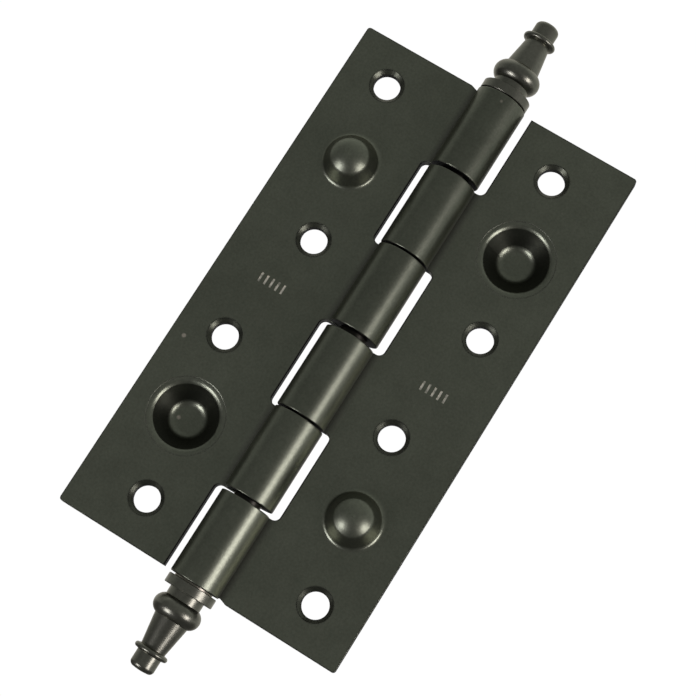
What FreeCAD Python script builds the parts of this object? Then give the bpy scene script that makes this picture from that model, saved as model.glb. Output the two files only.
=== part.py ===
"""Six-knuckle security door hinge, 150 mm leaves, with turned finials.

Frame (millimetres): the origin is on the pin's axis, half way along the
leaves. +Z runs up the pin, as the hinge hangs on a door. The leaves are shown
folded flat: frame leaf towards -X, door leaf towards +X, countersunk faces
towards -Y, backs towards +Y.
"""
import FreeCAD, Part
import math
import os

V = FreeCAD.Vector

# ------------------------------------------------------------------ dimensions
LEAF_L = 150.0          # leaf length along the pin
LEAF_W = 41.5           # pin axis to the leaf's outer edge
SHEET_T = 3.0           # sheet thickness
SET = 0.75              # leaf front face, behind the pin axis (closed gap is twice this)
CORNER_R = 0.9          # outer corners of a leaf
EDGE_R = 0.15           # sheared edge softened on the face side

KNUCKLE_R = 7.08        # outside radius of the rolled knuckles
BORE_R = 3.95           # inside radius of the rolled knuckles
PIN_R = 3.90            # pin radius, a running fit in the knuckles
RIM_R = 0.32            # softened rims of the knuckles
SEAM_GAP = 0.22         # gap where the rolled end comes back to the leaf
SEAM_R = 0.65           # rounding on the rolled end
ROOT_R = 1.8            # bend radius behind the knuckle
# knuckles of one leaf, along the pin, before the axial play is shared out
KNUCKLES = [(50.6, 74.75), (0.65, 24.8), (-49.75, -25.6)]
# slots of the same leaf, in which the other leaf's knuckles turn
SLOTS = [(24.7, 50.72), (-25.65, 0.5), (-90.0, -50.0)]
SLOT_X = 9.3            # slot edge, from the pin axis
SLOT_R = 1.7            # inner corners of a slot
PLAY = 0.135            # each leaf sits this far off centre along the pin
RELIEF_X = (9.2, 7.3)   # relief beside the outermost knuckle
RELIEF_Z = 74.35

HOLE_R = 3.6            # screw holes
SINK_R = 4.65           # countersink at the face
HOLES = [(28.5, 63.1), (28.5, -16.9), (22.5, 16.9), (22.5, -63.1)]

PRESS_X = 25.5          # boss and recess, from the pin axis
PRESS_Z = 40.0          # boss above the middle, recess below it
BOSS_H = 7.05
BOSS_WALL_DEG = 66.0    # slope of the boss's wall
BOSS_DOME_R = 7.2       # domed top
BOSS_DOME_DEG = 42.0    # where the dome turns into the shoulder
BOSS_SHOULDER = 2.2
BOSS_ROOT = 1.6
BOSS_SKIN = 1.9         # drawn thickness of the boss
RECESS_WALL_DEG = 50.0
RECESS_FLAT = 2.9       # flat bottom
RECESS_ROOT = 3.1
RECESS_LIP = 10.15
RECESS_LIP_R = 2.0
RECESS_SKIN = 2.0       # drawn thickness of the recess
COIN_R = 10.5           # shallow coined ring round the recess
COIN_D = 0.10

MARK_X, MARK_Z = 25.5, 1.2   # plain tick marks pressed into the face
MARK_N, MARK_PITCH, MARK_W, MARK_H, MARK_D = 5, 1.7, 0.55, 2.6, 0.14

TOP_Z = 75.20           # seat of the upper finial on the pin
BOTTOM_Z = -75.41       # seat of the lower finial on the pin
COLLAR_R, COLLAR_H = 6.9, 2.62
NECK_R = 4.88
BULB_R = 6.62
BEAD_R = 4.65
TIP_R, TIP_Z = 3.36, 24.56
STUD_R, STUD_L = 2.45, 9.0
TAP_R, TAP_L = 2.50, 10.5
SPACER_R, SPACER_T, SPACER_Z = 5.5, 0.42, -75.37
# ------------------------------------------------------------------------------


def arc(a, m, b):
    return Part.Arc(V(*a), V(*m), V(*b)).toShape()


def line(a, b):
    return Part.makeLine(V(*a), V(*b))


def prism_z(edges, z0, z1):
    """Closed loop of edges in the XY plane at z=0, raised from z0 to z1."""
    face = Part.Face(Part.Wire(edges))
    face.translate(V(0, 0, z0))
    return face.extrude(V(0, 0, z1 - z0))


def box(x0, y0, z0, x1, y1, z1):
    return Part.makeBox(x1 - x0, y1 - y0, z1 - z0, V(x0, y0, z0))


def depth(v):
    """Height v above the leaf's face, as a y coordinate (the face looks to -Y)."""
    return SET - v


def polar(r, deg):
    a = math.radians(deg)
    return (r * math.cos(a), r * math.sin(a))


# ---- the rolled knuckle, drawn in XY with the leaf on the -X side -------------
def knuckle(z0, z1):
    f = SET                      # y of the leaf's face
    lip = f - SEAM_GAP           # y of the rolled end, just in front of the face
    R, rb, e = KNUCKLE_R, BORE_R, SEAM_R
    a = (-math.sqrt(rb ** 2 - lip ** 2), lip, 0)
    cy = lip - e
    cx = -math.sqrt((R - e) ** 2 - cy ** 2)
    b = (cx, lip, 0)
    k = math.hypot(cx, cy)
    c = (cx * R / k, cy * R / k, 0)
    # middle of the small rounding, between straight back (+Y) and the rim point
    ux, uy = 0.0 + cx / k, 1.0 + cy / k
    n = math.hypot(ux, uy)
    m = (cx + e * ux / n, cy + e * uy / n, 0)
    d = (-math.sqrt(R ** 2 - f ** 2), f, 0)
    g = (-math.sqrt(rb ** 2 - f ** 2), f, 0)
    far, near = (R, 0, 0), (rb, 0, 0)
    edges = [
        line(a, b), arc(b, m, c),
        arc(c, (0, -R, 0), far), arc(far, (0, R, 0), d),
        line(d, g),
        arc(g, (0, rb, 0), near), arc(near, (0, -rb, 0), a),
    ]
    s = prism_z(edges, z0, z1)
    rims = []
    for ed in s.Edges:
        cv = ed.Curve
        if isinstance(cv, Part.Circle) and abs(cv.Radius - R) < 1e-6:
            rims.append(ed)
    return s.makeFillet(RIM_R, rims)


def root_fillet(z0, z1):
    """Material of the bend behind the knuckle, between barrel and leaf back."""
    back = SET + SHEET_T
    R, q = KNUCKLE_R, ROOT_R
    cy = back + q
    cx = -math.sqrt((R + q) ** 2 - cy ** 2)
    k = R / (R + q)
    t2 = (cx * k, cy * k, 0)
    t1 = (cx, back, 0)
    u2 = ((t2[0] - cx) / q, (t2[1] - cy) / q)
    ux, uy = u2[0], u2[1] - 1.0
    n = math.hypot(ux, uy)
    m = (cx + q * ux / n, cy + q * uy / n, 0)
    i1 = (-4.5, SET + 0.6, 0)
    i2 = (-4.4, 4.35, 0)
    p1 = (cx, SET + 0.6, 0)
    edges = [line(p1, i1), line(i1, i2), line(i2, t2), arc(t2, m, t1), line(t1, p1)]
    return prism_z(edges, z0, z1)


# ---- pressed boss and recess ---------------------------------------------------
def revolve_profile(front, back, r_out, x0, z0):
    """Front and back contours as (r, v) points or ('arc', mid, end) items,
    both from r_out inwards to r=0, turned about an axis along Y at (x0, z0)."""
    def p(rv):
        return (x0 + rv[0], depth(rv[1]), z0)
    edges = []
    cur = front[0]
    for item in front[1:]:
        if item[0] == "arc":
            edges.append(arc(p(cur), p(item[1]), p(item[2])))
            cur = item[2]
        else:
            edges.append(line(p(cur), p(item)))
            cur = item
    top_axis = cur
    seq = []
    cur = back[0]
    for item in back[1:]:
        if item[0] == "arc":
            seq.append(arc(p(cur), p(item[1]), p(item[2])))
            cur = item[2]
        else:
            seq.append(line(p(cur), p(item)))
            cur = item
    edges.append(line(p(top_axis), p(cur)))
    edges += list(reversed(seq))
    edges.append(line(p(back[0]), p(front[0])))
    face = Part.Face(Part.Wire(Part.__sortEdges__(edges)))
    return face.revolve(V(x0, 0, z0), V(0, 1, 0), 360)


def arc_mid(cr, cv, rad, a0, a1):
    a = math.radians((a0 + a1) / 2.0)
    return (cr + rad * math.cos(a), cv + rad * math.sin(a))


def boss(x0, z0):
    w, t = BOSS_WALL_DEG, SHEET_T
    sw, cw, tw = math.sin(math.radians(w)), math.cos(math.radians(w)), math.tan(math.radians(w))
    R, a1, r2, q, skin = BOSS_DOME_R, BOSS_DOME_DEG, BOSS_SHOULDER, BOSS_ROOT, BOSS_SKIN
    s1, c1 = math.sin(math.radians(a1)), math.cos(math.radians(a1))
    c = BOSS_H - R                                  # centre of the dome
    k = ((R - r2) * s1, c + (R - r2) * c1)          # centre of the shoulder
    # face side: root, straight wall, shoulder, dome
    wall_top = (k[0] + r2 * sw, k[1] + r2 * cw)
    root_v = q * (1 - cw)
    root_r = wall_top[0] + (wall_top[1] - root_v) / tw
    base = root_r + q * sw
    front = [
        (base + 1.4, 0.0), (base, 0.0),
        ("arc", arc_mid(base, q, q, -90, -90 - w), (root_r, root_v)),
        wall_top,
        ("arc", arc_mid(k[0], k[1], r2, 90 - w, 90 - a1), (R * s1, c + R * c1)),
        ("arc", arc_mid(0, c, R, 90 - a1, 90), (0.0, c + R)),
    ]
    # back: the hollow left by the punch, one skin inside
    ri, rk, ro = R - skin, r2 - skin, 2.0
    in_end = (k[0] + rk * sw, k[1] + rk * cw)
    o_v = -t + ro * (1 - cw)
    o_r = in_end[0] + (in_end[1] - o_v) / tw
    mouth = o_r + ro * sw
    r_out = max(base, mouth) + 1.4
    front[0] = (r_out, 0.0)
    back = [
        (r_out, -t), (mouth, -t),
        ("arc", arc_mid(mouth, -t + ro, ro, -90, -90 - w), (o_r, o_v)),
        in_end,
        ("arc", arc_mid(k[0], k[1], rk, 90 - w, 90 - a1), (ri * s1, c + ri * c1)),
        ("arc", arc_mid(0, c, ri, 90 - a1, 90), (0.0, c + ri)),
    ]
    print("boss height %.2f, base radius %.2f, hollow mouth radius %.2f" % (BOSS_H, base, mouth))
    return r_out, revolve_profile(front, back, r_out, x0, z0)


def recess(x0, z0):
    w, t = RECESS_WALL_DEG, SHEET_T
    sw, cw, tw = math.sin(math.radians(w)), math.cos(math.radians(w)), math.tan(math.radians(w))
    q = RECESS_ROOT
    # face side: coined ring, lip, wall, root, flat bottom
    l_end = (RECESS_LIP - RECESS_LIP_R * sw, -COIN_D - RECESS_LIP_R * (1 - cw))
    b_r = RECESS_FLAT + q * sw
    b_v = l_end[1] - (l_end[0] - b_r) * tw
    d = -b_v + q * (1 - cw)
    # back side: the bulge, one skin behind the face side
    rs, rf = q + RECESS_SKIN, 1.2
    s_end = (RECESS_FLAT + rs * sw, -d + q - rs * cw)
    f_v = -t - rf * (1 - cw)
    f_r = s_end[0] + (f_v - s_end[1]) / tw
    foot = f_r + rf * sw
    r_out = max(COIN_R, foot) + 1.2
    front = [
        (r_out, 0.0), (COIN_R, 0.0), (COIN_R - 0.2, -COIN_D), (RECESS_LIP, -COIN_D),
        ("arc", arc_mid(RECESS_LIP, -COIN_D - RECESS_LIP_R, RECESS_LIP_R, 90, 90 + w), l_end),
        (b_r, b_v),
        ("arc", arc_mid(RECESS_FLAT, -d + q, q, -90, -90 + w), (RECESS_FLAT, -d)),
        (0.0, -d),
    ]
    back = [
        (r_out, -t), (foot, -t),
        ("arc", arc_mid(foot, -t - rf, rf, 90, 90 + w), (f_r, f_v)),
        s_end,
        ("arc", arc_mid(RECESS_FLAT, -d + q, rs, -90, -90 + w), (RECESS_FLAT, -d - RECESS_SKIN)),
        (0.0, -d - RECESS_SKIN),
    ]
    print("recess depth %.2f, bulge behind the leaf %.2f" % (d, d + RECESS_SKIN - t))
    return r_out, revolve_profile(front, back, r_out, x0, z0)


def cyl_y(r, y0, y1, x, z):
    return Part.makeCylinder(r, y1 - y0, V(x, y0, z), V(0, 1, 0))


# ---- one leaf, drawn on the -X side --------------------------------------------
def leaf():
    y0, y1 = SET, SET + SHEET_T
    half = LEAF_L / 2.0
    plate = box(-LEAF_W, y0, -half, -4.4, y1, half)
    corners = []
    for e in plate.Edges:
        a, b = e.Vertexes[0].Point, e.Vertexes[1].Point
        if abs(a.x + LEAF_W) < 1e-6 and abs(b.x + LEAF_W) < 1e-6 and abs(a.y - b.y) > 1:
            corners.append(e)
    plate = plate.makeFillet(CORNER_R, corners)
    # slots for the other leaf's knuckles
    for a, b in SLOTS:
        s = box(-SLOT_X, y0 - 1, a, 2.0, y1 + 1, b)
        pick = []
        for e in s.Edges:
            p, q = e.Vertexes[0].Point, e.Vertexes[1].Point
            if abs(p.x + SLOT_X) < 1e-6 and abs(q.x + SLOT_X) < 1e-6 and abs(p.y - q.y) > 1:
                if abs(p.z) < half:
                    pick.append(e)
        plate = plate.cut(s.makeFillet(SLOT_R, pick))
    # relief beside the outermost knuckle
    xa, xb = RELIEF_X
    pts = [V(-xa, y0 - 1, half), V(-xb, y0 - 1, RELIEF_Z), V(2, y0 - 1, RELIEF_Z),
           V(2, y0 - 1, half + 5), V(-xa, y0 - 1, half + 5)]
    rel = Part.Face(Part.makePolygon(pts + [pts[0]])).extrude(V(0, SHEET_T + 2, 0))
    plate = plate.cut(rel)
    # soften the sheared outline on the face side
    soft = []
    for e in plate.Edges:
        ends = [v.Point for v in e.Vertexes]
        if all(abs(p.y - y0) < 1e-6 for p in ends) and all(p.x < -7.0 for p in ends):
            soft.append(e)
    try:
        plate = plate.makeFillet(EDGE_R, soft)
    except Exception as err:
        print("outline left sharp:", err)
    # pressed boss and recess
    for maker, x, z in ((boss, -PRESS_X, PRESS_Z), (recess, -PRESS_X, -PRESS_Z)):
        r_out, cup = maker(x, z)
        plate = plate.cut(cyl_y(r_out, y0 - 1, y1 + 1, x, z)).fuse(cup)
    plate = plate.removeSplitter()
    # countersunk screw holes
    for x, z in HOLES:
        plate = plate.cut(cyl_y(HOLE_R, y0 - 1, y1 + 1, -x, z))
        k = SINK_R - HOLE_R
        sink = Part.makeCone(SINK_R + 0.5, HOLE_R - 0.5, k + 1.0, V(-x, y0 - 0.5, z), V(0, 1, 0))
        plate = plate.cut(sink)
    # plain tick marks
    for i in range(MARK_N):
        cx = -MARK_X + (i - (MARK_N - 1) / 2.0) * MARK_PITCH
        m = box(cx - MARK_W / 2, y0 - 1, MARK_Z - MARK_H / 2, cx + MARK_W / 2, y0 + MARK_D,
                MARK_Z + MARK_H / 2)
        plate = plate.cut(m)
    body = plate
    # knuckles with their roots
    tabs = [(SLOTS[0][1], RELIEF_Z), (SLOTS[1][1], SLOTS[0][0]), (SLOTS[2][1], SLOTS[1][0])]
    for (a, b), (ta, tb) in zip(KNUCKLES, tabs):
        ta, tb = max(ta, a), min(tb, b)
        body = body.fuse([knuckle(a, b), root_fillet(ta, tb)])
    return body.removeSplitter()


# ---- turned finial, standing on z=0 with its tip up ----------------------------
def finial():
    def p(r, z):
        return (r, 0, z)
    c, h = 0.16, COLLAR_H
    edges = []
    pts = [
        p(0, -STUD_L), p(STUD_R - 0.5, -STUD_L), p(STUD_R, -STUD_L + 0.5), p(STUD_R, 0),
        p(COLLAR_R - c, 0), p(COLLAR_R, c), p(COLLAR_R, h - c), p(COLLAR_R - c, h), p(NECK_R, h),
        p(NECK_R, 4.75),
    ]
    for a, b in zip(pts[:-1], pts[1:]):
        edges.append(line(a, b))
    # bulb
    edges.append(arc(p(NECK_R, 4.75), p(BULB_R, 7.4), p(4.72, 10.15)))
    # taper, bead, tip
    edges.append(line(p(4.72, 10.15), p(3.42, 18.35)))
    edges.append(line(p(3.42, 18.35), p(3.95, 18.52)))
    edges.append(arc(p(3.95, 18.52), p(BEAD_R, 19.22), p(3.95, 19.92)))
    edges.append(line(p(3.95, 19.92), p(TIP_R, 20.08)))
    edges.append(line(p(TIP_R, 20.08), p(TIP_R, 23.0)))
    k = 12.6                # flat dome of the tip, centred on the axis
    a = math.asin(2.0 / k) / 2.0
    zc = TIP_Z - k
    q = p(2.0, zc + k * math.cos(2 * a))
    edges.append(arc(p(TIP_R, 23.0), p(2.98, 24.0), q))
    edges.append(arc(q, p(k * math.sin(a), zc + k * math.cos(a)), p(0, TIP_Z)))
    edges.append(line(p(0, TIP_Z), p(0, -STUD_L)))
    face = Part.Face(Part.Wire(edges))
    return face.revolve(V(0, 0, 0), V(0, 0, 1), 360)


def hinge_pin():
    n = TOP_Z - BOTTOM_Z
    s = Part.makeCylinder(PIN_R, n, V(0, 0, BOTTOM_Z))
    s = s.makeChamfer(0.2, [e for e in s.Edges if isinstance(e.Curve, Part.Circle)])
    for z, d in ((TOP_Z, -1), (BOTTOM_Z, 1)):
        s = s.cut(Part.makeCylinder(TAP_R, TAP_L, V(0, 0, z), V(0, 0, d)))
    return s


def spacer():
    a = Part.makeCylinder(SPACER_R, SPACER_T, V(0, 0, SPACER_Z))
    return a.cut(Part.makeCylinder(PIN_R + 0.05, SPACER_T + 2, V(0, 0, SPACER_Z - 1)))


def main():
    frame = leaf()
    door = frame.copy()
    frame.translate(V(0, 0, PLAY))
    door.rotate(V(0, 0, 0), V(0, 1, 0), 180)      # identical leaf, turned end for end
    door.translate(V(0, 0, -PLAY))
    up = finial()
    up.translate(V(0, 0, TOP_Z))
    low = finial()
    low.rotate(V(0, 0, 0), V(1, 0, 0), 180)
    low.translate(V(0, 0, BOTTOM_Z))
    parts = {
        "frame_leaf": frame,
        "door_leaf": door,
        "hinge_pin": hinge_pin(),
        "upper_finial": up,
        "lower_finial": low,
        "spacer_washer": spacer(),
    }
    os.makedirs("parts", exist_ok=True)
    for name, s in parts.items():
        if s.ShapeType == "Compound" and len(s.Solids) == 1:
            s = s.Solids[0]
        b = s.BoundBox
        print("%-14s valid %s solids %d vol %.1f mm3 box x %.2f..%.2f y %.2f..%.2f z %.2f..%.2f" % (
            name, s.isValid(), len(s.Solids), s.Volume,
            b.XMin, b.XMax, b.YMin, b.YMax, b.ZMin, b.ZMax))
        s.exportStep("parts/%s.step" % name)


main()
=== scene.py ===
"""Looks of the door hinge: camera, light, floor and the finish of every piece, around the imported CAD."""
import math

import bmesh
import bpy
from mathutils import Matrix, Vector

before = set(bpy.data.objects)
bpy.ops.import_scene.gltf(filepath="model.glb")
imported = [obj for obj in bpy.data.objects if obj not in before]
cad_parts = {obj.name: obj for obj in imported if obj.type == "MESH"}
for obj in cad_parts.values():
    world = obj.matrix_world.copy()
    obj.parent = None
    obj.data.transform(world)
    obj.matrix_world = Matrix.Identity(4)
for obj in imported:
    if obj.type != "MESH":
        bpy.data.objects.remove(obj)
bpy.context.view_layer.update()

scene = bpy.context.scene
scene.view_settings.view_transform = "Standard"
scene.view_settings.look = "None"
scene.view_settings.exposure = 0.0
scene.view_settings.gamma = 1.0


def srgb(r, g, b, a=1.0):
    """A colour given as 0-255 sRGB, as the linear values Blender takes."""
    def lin(c):
        c /= 255.0
        return c / 12.92 if c <= 0.04045 else ((c + 0.055) / 1.055) ** 2.4
    return (lin(r), lin(g), lin(b), a)


# ------------------------------------------------------------------ camera
cam_data = bpy.data.cameras.new("camera")
cam_data.sensor_fit = "HORIZONTAL"
cam_data.sensor_width = 36.0
cam_data.lens = 95.83
cam_data.clip_start = 0.01
cam_data.clip_end = 50.0
cam = bpy.data.objects.new("camera", cam_data)
scene.collection.objects.link(cam)
right = Vector((0.84775063, 0.03730026, 0.52908180))
up = Vector((-0.50900700, -0.22320044, 0.83132030))
back = Vector((0.14909976, -0.97405865, -0.17023222))
m = Matrix((right, up, back)).transposed().to_4x4()
m.translation = Vector((0.071874, -0.464818, -0.084333))
cam.matrix_world = m
scene.camera = cam


# ------------------------------------------------------------------ materials
class Nodes:
    """Small helper to write node trees in a few lines."""

    def __init__(self, name):
        self.mat = bpy.data.materials.new(name)
        self.mat.use_nodes = True
        self.t = self.mat.node_tree
        self.t.nodes.clear()
        self.out = self.add("ShaderNodeOutputMaterial")
        self.bsdf = self.add("ShaderNodeBsdfPrincipled")
        self.t.links.new(self.bsdf.outputs[0], self.out.inputs[0])
        tex = self.add("ShaderNodeTexCoord")
        self.coord = tex.outputs["Object"]
        self.normal = tex.outputs["Normal"]

    def add(self, kind, **props):
        n = self.t.nodes.new(kind)
        for k, v in props.items():
            setattr(n, k, v)
        return n

    def link(self, a, b):
        self.t.links.new(a, b)

    def mapped(self, scale=(1, 1, 1), rot=(0, 0, 0), loc=(0, 0, 0)):
        n = self.add("ShaderNodeMapping")
        n.inputs["Scale"].default_value = scale
        n.inputs["Rotation"].default_value = rot
        n.inputs["Location"].default_value = loc
        self.link(self.coord, n.inputs["Vector"])
        return n.outputs[0]

    def noise(self, scale, detail=4.0, rough=0.5, vec=None, distortion=0.0):
        n = self.add("ShaderNodeTexNoise")
        n.inputs["Scale"].default_value = scale
        n.inputs["Detail"].default_value = detail
        n.inputs["Roughness"].default_value = rough
        n.inputs["Distortion"].default_value = distortion
        self.link(vec if vec is not None else self.coord, n.inputs["Vector"])
        return n.outputs["Fac"]

    def ramp(self, fac, stops, interp="LINEAR"):
        n = self.add("ShaderNodeValToRGB")
        n.color_ramp.interpolation = interp
        e = n.color_ramp.elements
        while len(e) < len(stops):
            e.new(0.5)
        for el, (pos, col) in zip(e, stops):
            el.position = pos
            el.color = col if hasattr(col, "__len__") else (col, col, col, 1.0)
        self.link(fac, n.inputs[0])
        return n.outputs[0]

    def span(self, fac, a, b, c, d, clamp=True):
        n = self.add("ShaderNodeMapRange", clamp=clamp)
        for i, v in zip((1, 2, 3, 4), (a, b, c, d)):
            n.inputs[i].default_value = v
        self.link(fac, n.inputs[0])
        return n.outputs[0]

    def math(self, op, a, b=None, c=None):
        n = self.add("ShaderNodeMath", operation=op)
        for i, v in enumerate((a, b, c)):
            if v is None:
                continue
            if hasattr(v, "links"):
                self.link(v, n.inputs[i])
            else:
                n.inputs[i].default_value = v
        return n.outputs[0]

    def mix(self, fac, a, b, blend="MIX"):
        n = self.add("ShaderNodeMix", data_type="RGBA", blend_type=blend)
        for v, i in ((fac, 0), (a, 6), (b, 7)):
            if hasattr(v, "links"):
                self.link(v, n.inputs[i])
            else:
                n.inputs[i].default_value = v
        return n.outputs[2]

    def bump(self, height, distance, strength=1.0, normal=None):
        n = self.add("ShaderNodeBump")
        n.inputs["Strength"].default_value = strength
        n.inputs["Distance"].default_value = distance
        self.link(height, n.inputs["Height"])
        if normal is not None:
            self.link(normal, n.inputs["Normal"])
        return n.outputs[0]


def sheet_painted_shade_and_marks(n, col):
    """Painted shade and marks on a pressed and rolled leaf: a darker barrel, painted shade that turns the drawn walls,
    cut edges, knuckle ends, barrel sides and slot edges near-black, a painted dark line along the sheared outline, and
    pale tick marks painted as a glint."""
    def xyz(vec):
        sep = n.add("ShaderNodeSeparateXYZ")
        n.link(vec, sep.inputs[0])
        return sep.outputs
    pos, nor = xyz(n.coord), xyz(n.normal)
    ax, az = n.math("ABSOLUTE", pos[0]), n.math("ABSOLUTE", pos[2])
    ny, nz = n.math("ABSOLUTE", nor[1]), n.math("ABSOLUTE", nor[2])
    sheet = n.span(ax, 0.0074, 0.0092, 0.0, 1.0)
    barrel = n.math("SUBTRACT", 1.0, sheet)
    col = n.mix(n.math("MULTIPLY", barrel, 0.13), col, (0.0, 0.0, 0.0, 1.0))
    # painted shade: steep drawn walls and cut edges are darkened to near black
    wall_painted_shade = n.math("MULTIPLY", n.span(ny, 0.80, 0.60, 0.0, 1.0), sheet)
    # the painted shade is weaker on the boss, which stands proud of the face
    wall_painted_shade = n.math("MULTIPLY", wall_painted_shade, n.span(pos[1], 0.0002, 0.0009, 0.10, 1.0))
    col = n.mix(n.math("MULTIPLY", wall_painted_shade, 0.80), col, (0.003, 0.003, 0.002, 1.0))
    # painted shade: the cut faces of the sheet are made dark and matte
    cut = n.math("MULTIPLY", n.span(ny, 0.35, 0.20, 0.0, 1.0), sheet)
    # painted shade on the sawn ends of the knuckles, which face the gaps between them
    ends = n.math("MULTIPLY", n.span(nz, 0.75, 0.92, 0.0, 1.0), barrel)
    # painted shade on the sides of the barrel
    flank = n.math("MULTIPLY", n.span(ax, 0.00672, 0.00705, 0.0, 0.45), barrel)
    painted_dark = n.math("MAXIMUM", n.math("MULTIPLY", n.math("MAXIMUM", cut, ends), 0.85), flank)
    # painted dark reflection: a dark band along the edge of the slots beside the other leaf's knuckles
    w = n.math("MULTIPLY", pos[2], n.math("MULTIPLY", n.math("SIGN", pos[0]), -1.0))
    along = None
    for a, b in ((0.0254, 0.0503), (-0.0249, 0.0000), (-0.0770, -0.0504)):
        r = n.math("MULTIPLY", n.span(w, a, a + 0.0009, 0.0, 1.0), n.span(w, b - 0.0009, b, 1.0, 0.0))
        along = r if along is None else n.math("MAXIMUM", along, r)
    slot = n.math("MULTIPLY", n.math("MULTIPLY", along, n.span(ax, 0.00945, 0.00980, 0.9, 0.0)), sheet)
    painted_dark = n.math("MAXIMUM", painted_dark, slot)
    # painted dark reflection: a dark line along the sheared outline
    geo = n.add("ShaderNodeNewGeometry")
    bev = n.add("ShaderNodeBevel", samples=4)
    bev.inputs["Radius"].default_value = 0.00060
    dot_n = n.add("ShaderNodeVectorMath", operation="DOT_PRODUCT")
    n.link(bev.outputs[0], dot_n.inputs[0])
    n.link(geo.outputs["Normal"], dot_n.inputs[1])
    rim = n.math("MULTIPLY", n.span(dot_n.outputs["Value"], 0.992, 0.93, 0.0, 1.0), sheet)
    # the strip of face that carries the tick marks
    strip = n.math("MULTIPLY", n.span(n.math("ABSOLUTE", n.math("SUBTRACT", ax, 0.0255)), 0.0049, 0.0051, 1.0, 0.0),
                   n.span(az, 0.0030, 0.0032, 1.0, 0.0))
    rim = n.math("MULTIPLY", rim, n.math("SUBTRACT", 1.0, strip))
    painted_dark = n.math("MAXIMUM", painted_dark, n.math("MULTIPLY", rim, 0.85))
    # all the painted shade and painted dark reflection darken the colour to near black; further down they also take
    # off the metal and sheen
    col = n.mix(n.span(painted_dark, 0.0, 0.80, 0.0, 1.0), col, (0.003, 0.003, 0.003, 1.0))
    # painted glint: pale metal in the grooves of the tick marks
    sunk = n.math("MULTIPLY", n.span(pos[1], 0.00077, 0.00084, 0.0, 1.0), n.span(pos[1], 0.0012, 0.0013, 1.0, 0.0))
    sunk = n.math("MULTIPLY", n.math("MULTIPLY", sunk, strip), n.span(n.noise(900.0, 2.0, 0.5), 0.35, 0.60, 0.35, 1.0))
    # the stretched skin of the boss is a little coarser
    boss = n.math("MULTIPLY", n.span(pos[1], -0.0004, 0.0004, 1.0, 0.0), n.span(ax, 0.0120, 0.0130, 0.0, 1.0))
    return n.mix(sunk, col, srgb(226, 223, 210)), painted_dark, boss


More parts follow.
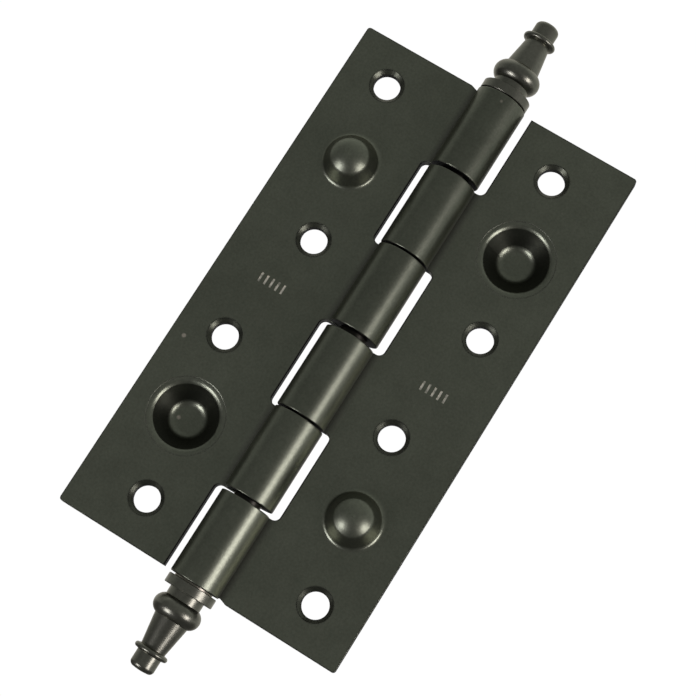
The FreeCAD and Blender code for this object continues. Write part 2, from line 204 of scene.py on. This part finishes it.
def dark_steel(name, base, spread, rough, metallic, spec_tint, seed, dust=None, turned=False,
               wear=0.35, sheet=False):
    """Satin dark finish on steel: faint cloudy toning, fine orange-peel, rubbed edges, a little dust; with sheet, also
    the leaf's painted shade and painted marks.
    """
    n = Nodes(name)
    b = n.bsdf
    off = (seed * 0.37, seed * 0.11, seed * 0.23)
    v = n.mapped(loc=off)
    # cloudy toning of the finish, a few centimetres and a few millimetres across
    big = n.noise(28.0, 3.0, 0.55, v)
    mid = n.noise(170.0, 5.0, 0.6, v)
    fine = n.noise(1500.0, 4.0, 0.6, v)
    tone = n.math("ADD", n.math("MULTIPLY", big, 0.55), n.math("MULTIPLY", mid, 0.45))
    lo = [max(0.0, c * (1 - spread)) for c in base[:3]] + [1.0]
    hi = [c * (1 + spread) for c in base[:3]] + [1.0]
    col = n.ramp(tone, [(0.36, tuple(lo)), (0.64, tuple(hi))])
    # grain of the powdery lacquer
    speck = n.ramp(fine, [(0.30, 0.86), (0.55, 1.0), (0.74, 1.10)])
    col = n.mix(1.0, col, speck, "MULTIPLY")
    # rubbed, slightly lighter edges
    geo = n.add("ShaderNodeNewGeometry")
    bev = n.add("ShaderNodeBevel", samples=4)
    bev.inputs["Radius"].default_value = 0.00022
    dot_n = n.add("ShaderNodeVectorMath", operation="DOT_PRODUCT")
    n.link(bev.outputs[0], dot_n.inputs[0])
    n.link(geo.outputs["Normal"], dot_n.inputs[1])
    edge = n.span(dot_n.outputs["Value"], 0.99, 0.86, 0.0, 1.0)
    edge = n.math("MULTIPLY", edge, n.span(n.noise(420.0, 3.0, 0.6, v), 0.38, 0.66, 0.0, 1.0))
    edge = n.math("MULTIPLY", edge, wear)
    rub = tuple(min(1.0, c * 3.2 + 0.012) for c in base[:3]) + (1.0,)
    col = n.mix(edge, col, rub)
    painted_dark = None
    if sheet:
        col, painted_dark, boss = sheet_painted_shade_and_marks(n, col)
    rough_v = n.span(tone, 0.35, 0.65, rough * 0.93, rough * 1.07)
    if painted_dark is not None:
        rough_v = n.math("ADD", rough_v, n.math("MULTIPLY", painted_dark, 0.25))
        rough_v = n.math("ADD", rough_v, n.math("MULTIPLY", boss, 0.05))
    if dust:
        # a few tiny pale specks of dust
        vor = n.add("ShaderNodeTexVoronoi", feature="F1")
        vor.inputs["Scale"].default_value = dust[0]
        vor.inputs["Randomness"].default_value = 1.0
        n.link(v, vor.inputs["Vector"])
        dot = n.span(vor.outputs["Distance"], dust[1] * 0.55, dust[1], 1.0, 0.0)
        sep = n.add("ShaderNodeSeparateColor")
        n.link(vor.outputs["Color"], sep.inputs[0])
        some = n.math("GREATER_THAN", sep.outputs[0], dust[2])
        dot = n.math("MULTIPLY", dot, some)
        col = n.mix(n.math("MULTIPLY", dot, 0.75), col, srgb(150, 146, 134))
        rough_v = n.math("ADD", rough_v, n.math("MULTIPLY", dot, 0.25))
    n.link(col, b.inputs["Base Color"])
    n.link(rough_v, b.inputs["Roughness"])
    b.inputs["Metallic"].default_value = metallic
    b.inputs["Specular IOR Level"].default_value = 0.5
    if painted_dark is not None:
        n.link(n.span(painted_dark, 0.0, 0.80, metallic, 0.0), b.inputs["Metallic"])
        n.link(n.span(painted_dark, 0.0, 0.80, 0.5, 0.06), b.inputs["Specular IOR Level"])
    b.inputs["Specular Tint"].default_value = spec_tint
    # orange peel of the lacquer, over faint waviness of the sheet or fine turning rings
    nb = None
    if turned:
        sep = n.add("ShaderNodeSeparateXYZ")
        n.link(n.coord, sep.inputs[0])
        w = n.add("ShaderNodeTexNoise", noise_dimensions="1D")
        w.inputs["Scale"].default_value = 5200.0
        w.inputs["Detail"].default_value = 2.0
        n.link(sep.outputs[2], w.inputs["W"])
        nb = n.bump(w.outputs["Fac"], 0.000010, 0.40)
    else:
        nb = n.bump(n.noise(55.0, 2.0, 0.5, v), 0.00022, 0.30)
    nb = n.bump(n.noise(650.0, 3.0, 0.55, v), 0.000035, 0.16 if turned else 0.45, nb)
    nb = n.bump(fine, 0.000012, 0.20 if turned else 0.50, nb)
    n.link(nb, b.inputs["Normal"])
    return n.mat


WARM = (1.0, 0.97, 0.90, 1.0)
leaf_mat = dark_steel("leaf_steel", srgb(95, 100, 88), 0.08, 0.33, 0.94, WARM, 1.0,
                      dust=(105.0, 0.075, 0.90), sheet=True)
# painted shade: the pin is much darker than the other parts, as it shows only in the gaps between the knuckles
pin_shaded_mat = dark_steel("pin_steel", srgb(38, 38, 34), 0.08, 0.36, 0.94, WARM, 2.0, turned=True)
finial_mat = dark_steel("finial_steel", srgb(95, 97, 88), 0.10, 0.31, 0.94, WARM, 3.0,
                        dust=(150.0, 0.08, 0.94), turned=True)
washer_mat = dark_steel("washer_steel", srgb(112, 110, 100), 0.12, 0.30, 0.95, WARM, 4.0, turned=True)


def finish(node, mat, angle=35.0):
    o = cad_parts[node]
    o.data.materials.clear()
    o.data.materials.append(mat)
    for p in o.data.polygons:
        p.material_index = 0
    return o


for node in ("frame_leaf", "door_leaf"):
    finish(node, leaf_mat)
finish("hinge_pin", pin_shaded_mat)
finish("upper_finial", finial_mat)
finish("lower_finial", finial_mat)
finish("spacer_washer", washer_mat)


# ------------------------------------------------------------------ floor and backdrop
def stage_material():
    """Pale, evenly lit studio sheet. It is bright to look at and dim as a light, so that it
    doesn't wash out the dark metal in front of it."""
    n = Nodes("stage_pale")
    tone = n.noise(1.7, 3.0, 0.5)
    col = n.ramp(tone, [(0.3, (1.0, 1.0, 0.998, 1.0)), (0.7, (1.0, 1.0, 1.0, 1.0))])
    seen = n.add("ShaderNodeEmission")
    n.link(col, seen.inputs[0])
    seen.inputs[1].default_value = 1.02
    dim = n.add("ShaderNodeEmission")
    dim.inputs[0].default_value = (1.0, 0.99, 0.97, 1.0)
    sep = n.add("ShaderNodeSeparateXYZ")
    n.link(n.coord, sep.inputs[0])
    n.link(n.span(sep.outputs[2], -0.9, -0.2, STAGE_DIM[0], STAGE_DIM[1]), dim.inputs[1])
    path = n.add("ShaderNodeLightPath")
    mix = n.add("ShaderNodeMixShader")
    n.link(path.outputs["Is Camera Ray"], mix.inputs[0])
    n.link(dim.outputs[0], mix.inputs[1])
    n.link(seen.outputs[0], mix.inputs[2])
    n.link(mix.outputs[0], n.out.inputs[0])
    n.t.nodes.remove(n.bsdf)
    return n.mat


STAGE_DIM = (0.12, 0.80)     # floor, backdrop


def sweep(name, floor_z, back_y, width, front_y, height, radius, seg=24):
    """Seamless sheet: floor, quarter-round, upright backdrop."""
    prof = [(front_y, floor_z)]
    for i in range(seg + 1):
        a = math.radians(-90 + 90.0 * i / seg)
        prof.append((back_y - radius + radius * math.cos(a), floor_z + radius + radius * math.sin(a)))
    prof.append((back_y, floor_z + height))
    bm = bmesh.new()
    rows = []
    for y, z in prof:
        rows.append([bm.verts.new((x, y, z)) for x in (-width / 2, width / 2)])
    for a, b in zip(rows[:-1], rows[1:]):
        bm.faces.new((a[0], a[1], b[1], b[0]))
    bm.normal_update()
    me = bpy.data.meshes.new(name)
    bm.to_mesh(me)
    bm.free()
    for p in me.polygons:
        p.use_smooth = True
    o = bpy.data.objects.new(name, me)
    me.materials.append(stage_material())
    scene.collection.objects.link(o)
    return o


sweep("studio_floor", -0.95, 2.2, 9.0, -3.5, 4.2, 0.9)

# ------------------------------------------------------------------ light
world = bpy.data.worlds.new("studio")
scene.world = world
world.use_nodes = True
wt = world.node_tree
bg = wt.nodes["Background"]
bg.inputs[0].default_value = (1.0, 0.99, 0.965, 1.0)
# the room: mid grey ahead and behind, paler all round at right angles to the leaves
wc = wt.nodes.new("ShaderNodeTexCoord")
ws = wt.nodes.new("ShaderNodeSeparateXYZ")
wt.links.new(wc.outputs["Generated"], ws.inputs[0])
wr = wt.nodes.new("ShaderNodeMapRange")
wr.inputs[1].default_value, wr.inputs[2].default_value = -1.0, 1.0
wt.links.new(ws.outputs[1], wr.inputs[0])
wv = wt.nodes.new("ShaderNodeValToRGB")
stops = [(0.0, 0.33), (0.10, 0.31), (0.28, 0.25), (0.41, 0.48), (0.50, 0.55), (0.56, 0.66), (1.0, 0.66)]
el = wv.color_ramp.elements
while len(el) < len(stops):
    el.new(0.5)
for e, (pos, v) in zip(el, stops):
    e.position = pos
    e.color = (v, v, v, 1.0)
wt.links.new(wr.outputs[0], wv.inputs[0])
# and paler overhead
wz = wt.nodes.new("ShaderNodeMapRange")
for i, v in zip((1, 2, 3, 4), (0.30, 0.80, 1.0, 1.7)):
    wz.inputs[i].default_value = v
wt.links.new(ws.outputs[2], wz.inputs[0])
wm = wt.nodes.new("ShaderNodeMath")
wm.operation = "MULTIPLY"
wt.links.new(wv.outputs[0], wm.inputs[0])
wt.links.new(wz.outputs[0], wm.inputs[1])
wt.links.new(wm.outputs[0], bg.inputs[1])
# seen directly, the room is as pale as the sheet
wp = wt.nodes.new("ShaderNodeLightPath")
wb = wt.nodes.new("ShaderNodeBackground")
wb.inputs[0].default_value = (1.0, 1.0, 1.0, 1.0)
wb.inputs[1].default_value = 0.93
wx = wt.nodes.new("ShaderNodeMixShader")
wt.links.new(wp.outputs["Is Camera Ray"], wx.inputs[0])
wt.links.new(bg.outputs[0], wx.inputs[1])
wt.links.new(wb.outputs[0], wx.inputs[2])
wt.links.new(wx.outputs[0], wt.nodes["World Output"].inputs[0])


def softbox(name, direction, dist, w, h, power, colour=(1, 1, 1)):
    d = Vector(direction).normalized()
    data = bpy.data.lights.new(name, "AREA")
    data.shape = "RECTANGLE"
    data.size = w
    data.size_y = h
    data.energy = power
    data.color = colour
    o = bpy.data.objects.new(name, data)
    scene.collection.objects.link(o)
    o.location = d * dist
    o.rotation_euler = d.to_track_quat("Z", "Y").to_euler()
    o.visible_camera = False
    return o


softbox("key_low_left", (-0.414, -0.535, -0.734), 0.95, 0.34, 0.34, 5.5, (1.0, 0.93, 1.0))
softbox("key_right", (0.862, -0.49, -0.12), 1.1, 0.42, 0.50, 8.7, (1.0, 0.90, 0.94))
